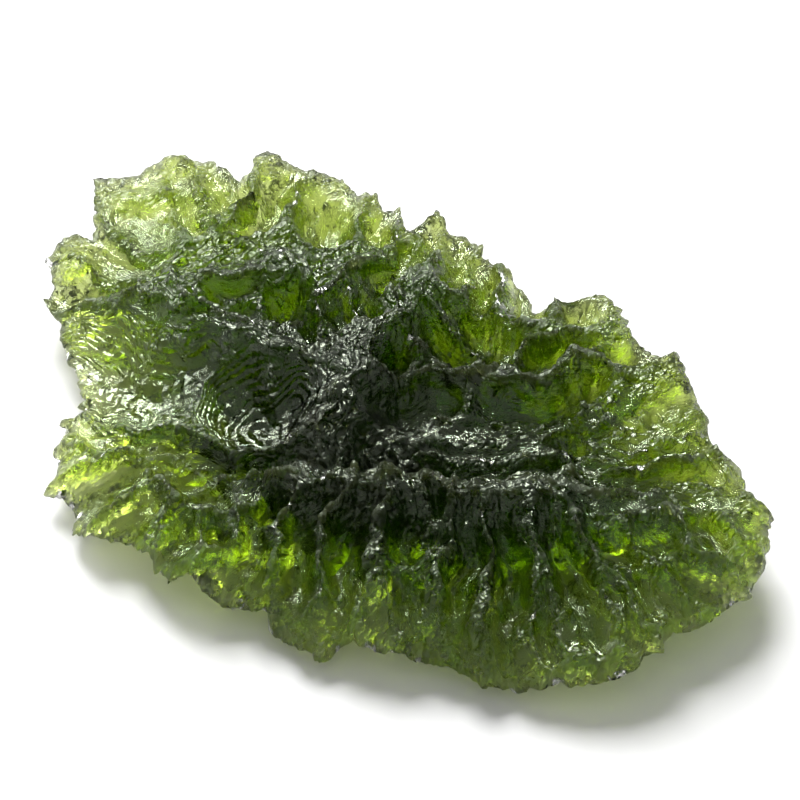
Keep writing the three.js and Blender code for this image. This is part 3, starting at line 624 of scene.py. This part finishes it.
polish = {"Value": dull, "From Max": 0.6, "To Min": GLOSSY, "To Max": DULL}
roughness = add(tree, "ShaderNodeMapRange", polish)
tree.links.new(roughness, shader.inputs["Roughness"])


def shade(operation, a, b=0.0, c=0.0):
    """One step of arithmetic on numbers in the glass."""
    return add(tree, "ShaderNodeMath", {0: a, 1: b, 2: c}, operation=operation)


# The skin's finest relief, in millimetres: scales on the crests, lines along the furrows, rings round the
# pool of the great bowl, and grain all over.
SCALES, LINES, RINGS, GRAIN = -0.34, 0.2, 0.09, 0.05
SCALE_STRETCH = (0.55, 1.2, 1.0)
SCALE_MIDDLE, SCALE_FALL, SCALE_LEAN = 0.2, 2.0, -0.6
LINE_STRETCH = (0.9, 4.2, 1.0)
RING_TURN, RING_DEPTH_TURN, RING_DRIFT = 4.5, 11.0, 9.0  # for each millimetre out and down, and by the noise
BOWL_LINE_LOSS = -0.8
bent = add(tree, "ShaderNodeTexNoise", {"Vector": here, "Scale": 900.0, "Detail": 2.0}, "Color")
scale_run = add(tree, "ShaderNodeAttribute", {}, "Vector", attribute_name="plates")
stretch = {0: scale_run, 1: SCALE_STRETCH, 2: bent}
scale_run = add(tree, "ShaderNodeVectorMath", stretch, operation="MULTIPLY_ADD")
scales = add(tree, "ShaderNodeTexVoronoi", {"Vector": scale_run, "Scale": 3.0})
centres = scales.node.outputs["Position"]
lean = add(tree, "ShaderNodeVectorMath", {0: scale_run, 1: centres}, operation="SUBTRACT")
lean = add(tree, "ShaderNodeSeparateXYZ", {"Vector": lean}, "Y")
slope = shade("MAXIMUM", shade("SUBTRACT", scales, SCALE_MIDDLE), 0.0)
scales = shade("MULTIPLY", slope, shade("MULTIPLY", slope, SCALE_FALL))
scales = shade("MULTIPLY_ADD", lean, SCALE_LEAN, scales)
along = add(tree, "ShaderNodeAttribute", {}, "Vector", attribute_name="flow")
along = add(tree, "ShaderNodeVectorMath", {0: along, 1: LINE_STRETCH, 2: bent}, operation="MULTIPLY_ADD")
lines = add(tree, "ShaderNodeTexNoise", {"Vector": along, "Scale": 1.0, "Detail": 3.0, "Roughness": 0.6})
deep = add(tree, "ShaderNodeAttribute", {}, "Fac", attribute_name="cut")
hollow = add(tree, "ShaderNodeAttribute", {}, "Fac", attribute_name="bowl")
slow = add(tree, "ShaderNodeTexNoise", {"Vector": here, "Scale": 500.0, "Detail": 2.0})
POOL = Vector((-12.5, -5.0, 4.0)) * MM  # the middle of the rings
from_pool = add(tree, "ShaderNodeVectorMath", {0: here, 1: POOL}, "Value", operation="DISTANCE")
ringed = shade("MULTIPLY_ADD", from_pool, RING_TURN / MM, shade("MULTIPLY", slow, RING_DRIFT))
rings = shade("ABSOLUTE", shade("SINE", shade("MULTIPLY_ADD", deep, RING_DEPTH_TURN, ringed)))
fine = add(tree, "ShaderNodeTexNoise", {"Vector": here, "Scale": 3000.0, "Detail": 3.0, "Roughness": 0.6})
skin = shade("MULTIPLY", fine, GRAIN)
skin = shade("MULTIPLY_ADD", scales, shade("MULTIPLY", worn, SCALES), skin)
line_share = shade("MULTIPLY_ADD", hollow, BOWL_LINE_LOSS, 1.0)
skin = shade("MULTIPLY_ADD", lines, shade("MULTIPLY", line_share, LINES), skin)
skin = shade("MULTIPLY_ADD", rings, shade("MULTIPLY", hollow, RINGS), skin)
calm = add(tree, "ShaderNodeAttribute", {}, "Fac", attribute_name="calm")
skin = shade("MULTIPLY", skin, shade("SUBTRACT", 1.0, calm))
bump = add(tree, "ShaderNodeBump", {"Strength": 1.0, "Distance": MM, "Height": skin})
tree.links.new(bump, shader.inputs["Normal"])

stone = bpy.data.objects.new("moldavite", stone_mesh)
bpy.context.scene.collection.objects.link(stone)
modifier = stone.modifiers.new("Etched relief", "NODES")
modifier.node_group = relief
wanted = {**RELIEF_SIZES, "Glass": glass}
for socket in relief.interface.items_tree:
    if socket.in_out == "INPUT" and socket.name in wanted:
        modifier[socket.identifier] = wanted[socket.name]
finished = bpy.data.meshes.new_from_object(stone.evaluated_get(bpy.context.evaluated_depsgraph_get()))
stone.modifiers.clear()
stone.data = finished
finished.shade_smooth()
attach(stone, "root")
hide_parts("moldavite")

# The table: a plain board with a coat of pale matt paint. It is one flat square, far wider than the picture,
# and the stone lies loose in its middle.
board_mesh = bpy.data.meshes.new("table")
HALF_SIDE = 1.5
board_corners = [(x * HALF_SIDE, y * HALF_SIDE, 0) for x, y in ((-1, -1), (1, -1), (1, 1), (-1, 1))]
board_mesh.from_pydata(board_corners, [], [(0, 1, 2, 3)])
board = bpy.data.objects.new("table", board_mesh)
bpy.context.scene.collection.objects.link(board)
paint = bpy.data.materials.new("pale paint")
paint.use_nodes = True
coat = paint.node_tree.nodes["Principled BSDF"]
coat.inputs["Base Color"].default_value = (0.43, 0.43, 0.43, 1)
coat.inputs["Roughness"].default_value = 0.9
board_mesh.materials.append(paint)

# The lights: a strong soft box high behind the stone on its left, a weaker one low on the left, and the even
# light of a pale room.
TARGET = Vector((1.15, 0.65, 5.0)) * MM  # the place on the stone that the lamps and the camera face


def softbox(name, place, size, power):
    """A square lamp that faces the stone."""
    lamp = bpy.data.lights.new(name, "AREA")
    lamp.shape = "SQUARE"
    lamp.size = size
    lamp.energy = power
    light = bpy.data.objects.new(name, lamp)
    light.location = place
    light.rotation_euler = (TARGET - light.location).to_track_quat("-Z", "Y").to_euler()
    bpy.context.scene.collection.objects.link(light)


softbox("key", place=Vector((-0.33, 0.38, 0.50)), size=0.36, power=17.0)
softbox("left", place=Vector((-0.60, 0.16, 0.24)), size=0.3, power=4.5)
world = bpy.data.worlds.new("room")
world.use_nodes = True
world.node_tree.nodes["Background"].inputs["Color"].default_value = (1, 1, 1, 1)
world.node_tree.nodes["Background"].inputs["Strength"].default_value = 0.75
bpy.context.scene.world = world
bpy.context.scene.view_settings.view_transform = "Standard"

# The camera looks down at the stone from the front and a little to the right.
AZIMUTH, ELEVATION = math.radians(28), math.radians(50)
DISTANCE = 176 * MM
lens = bpy.data.cameras.new("camera")
lens.lens = 135
lens.sensor_width = 36
lens.clip_start = 0.01
camera = bpy.data.objects.new("camera", lens)
back = Vector((
    math.sin(AZIMUTH) * math.cos(ELEVATION), -math.cos(AZIMUTH) * math.cos(ELEVATION), math.sin(ELEVATION),
))
camera.location = TARGET + DISTANCE * back
camera.rotation_euler = back.to_track_quat("Z", "Y").to_euler()
bpy.context.scene.collection.objects.link(camera)
bpy.context.scene.camera = camera
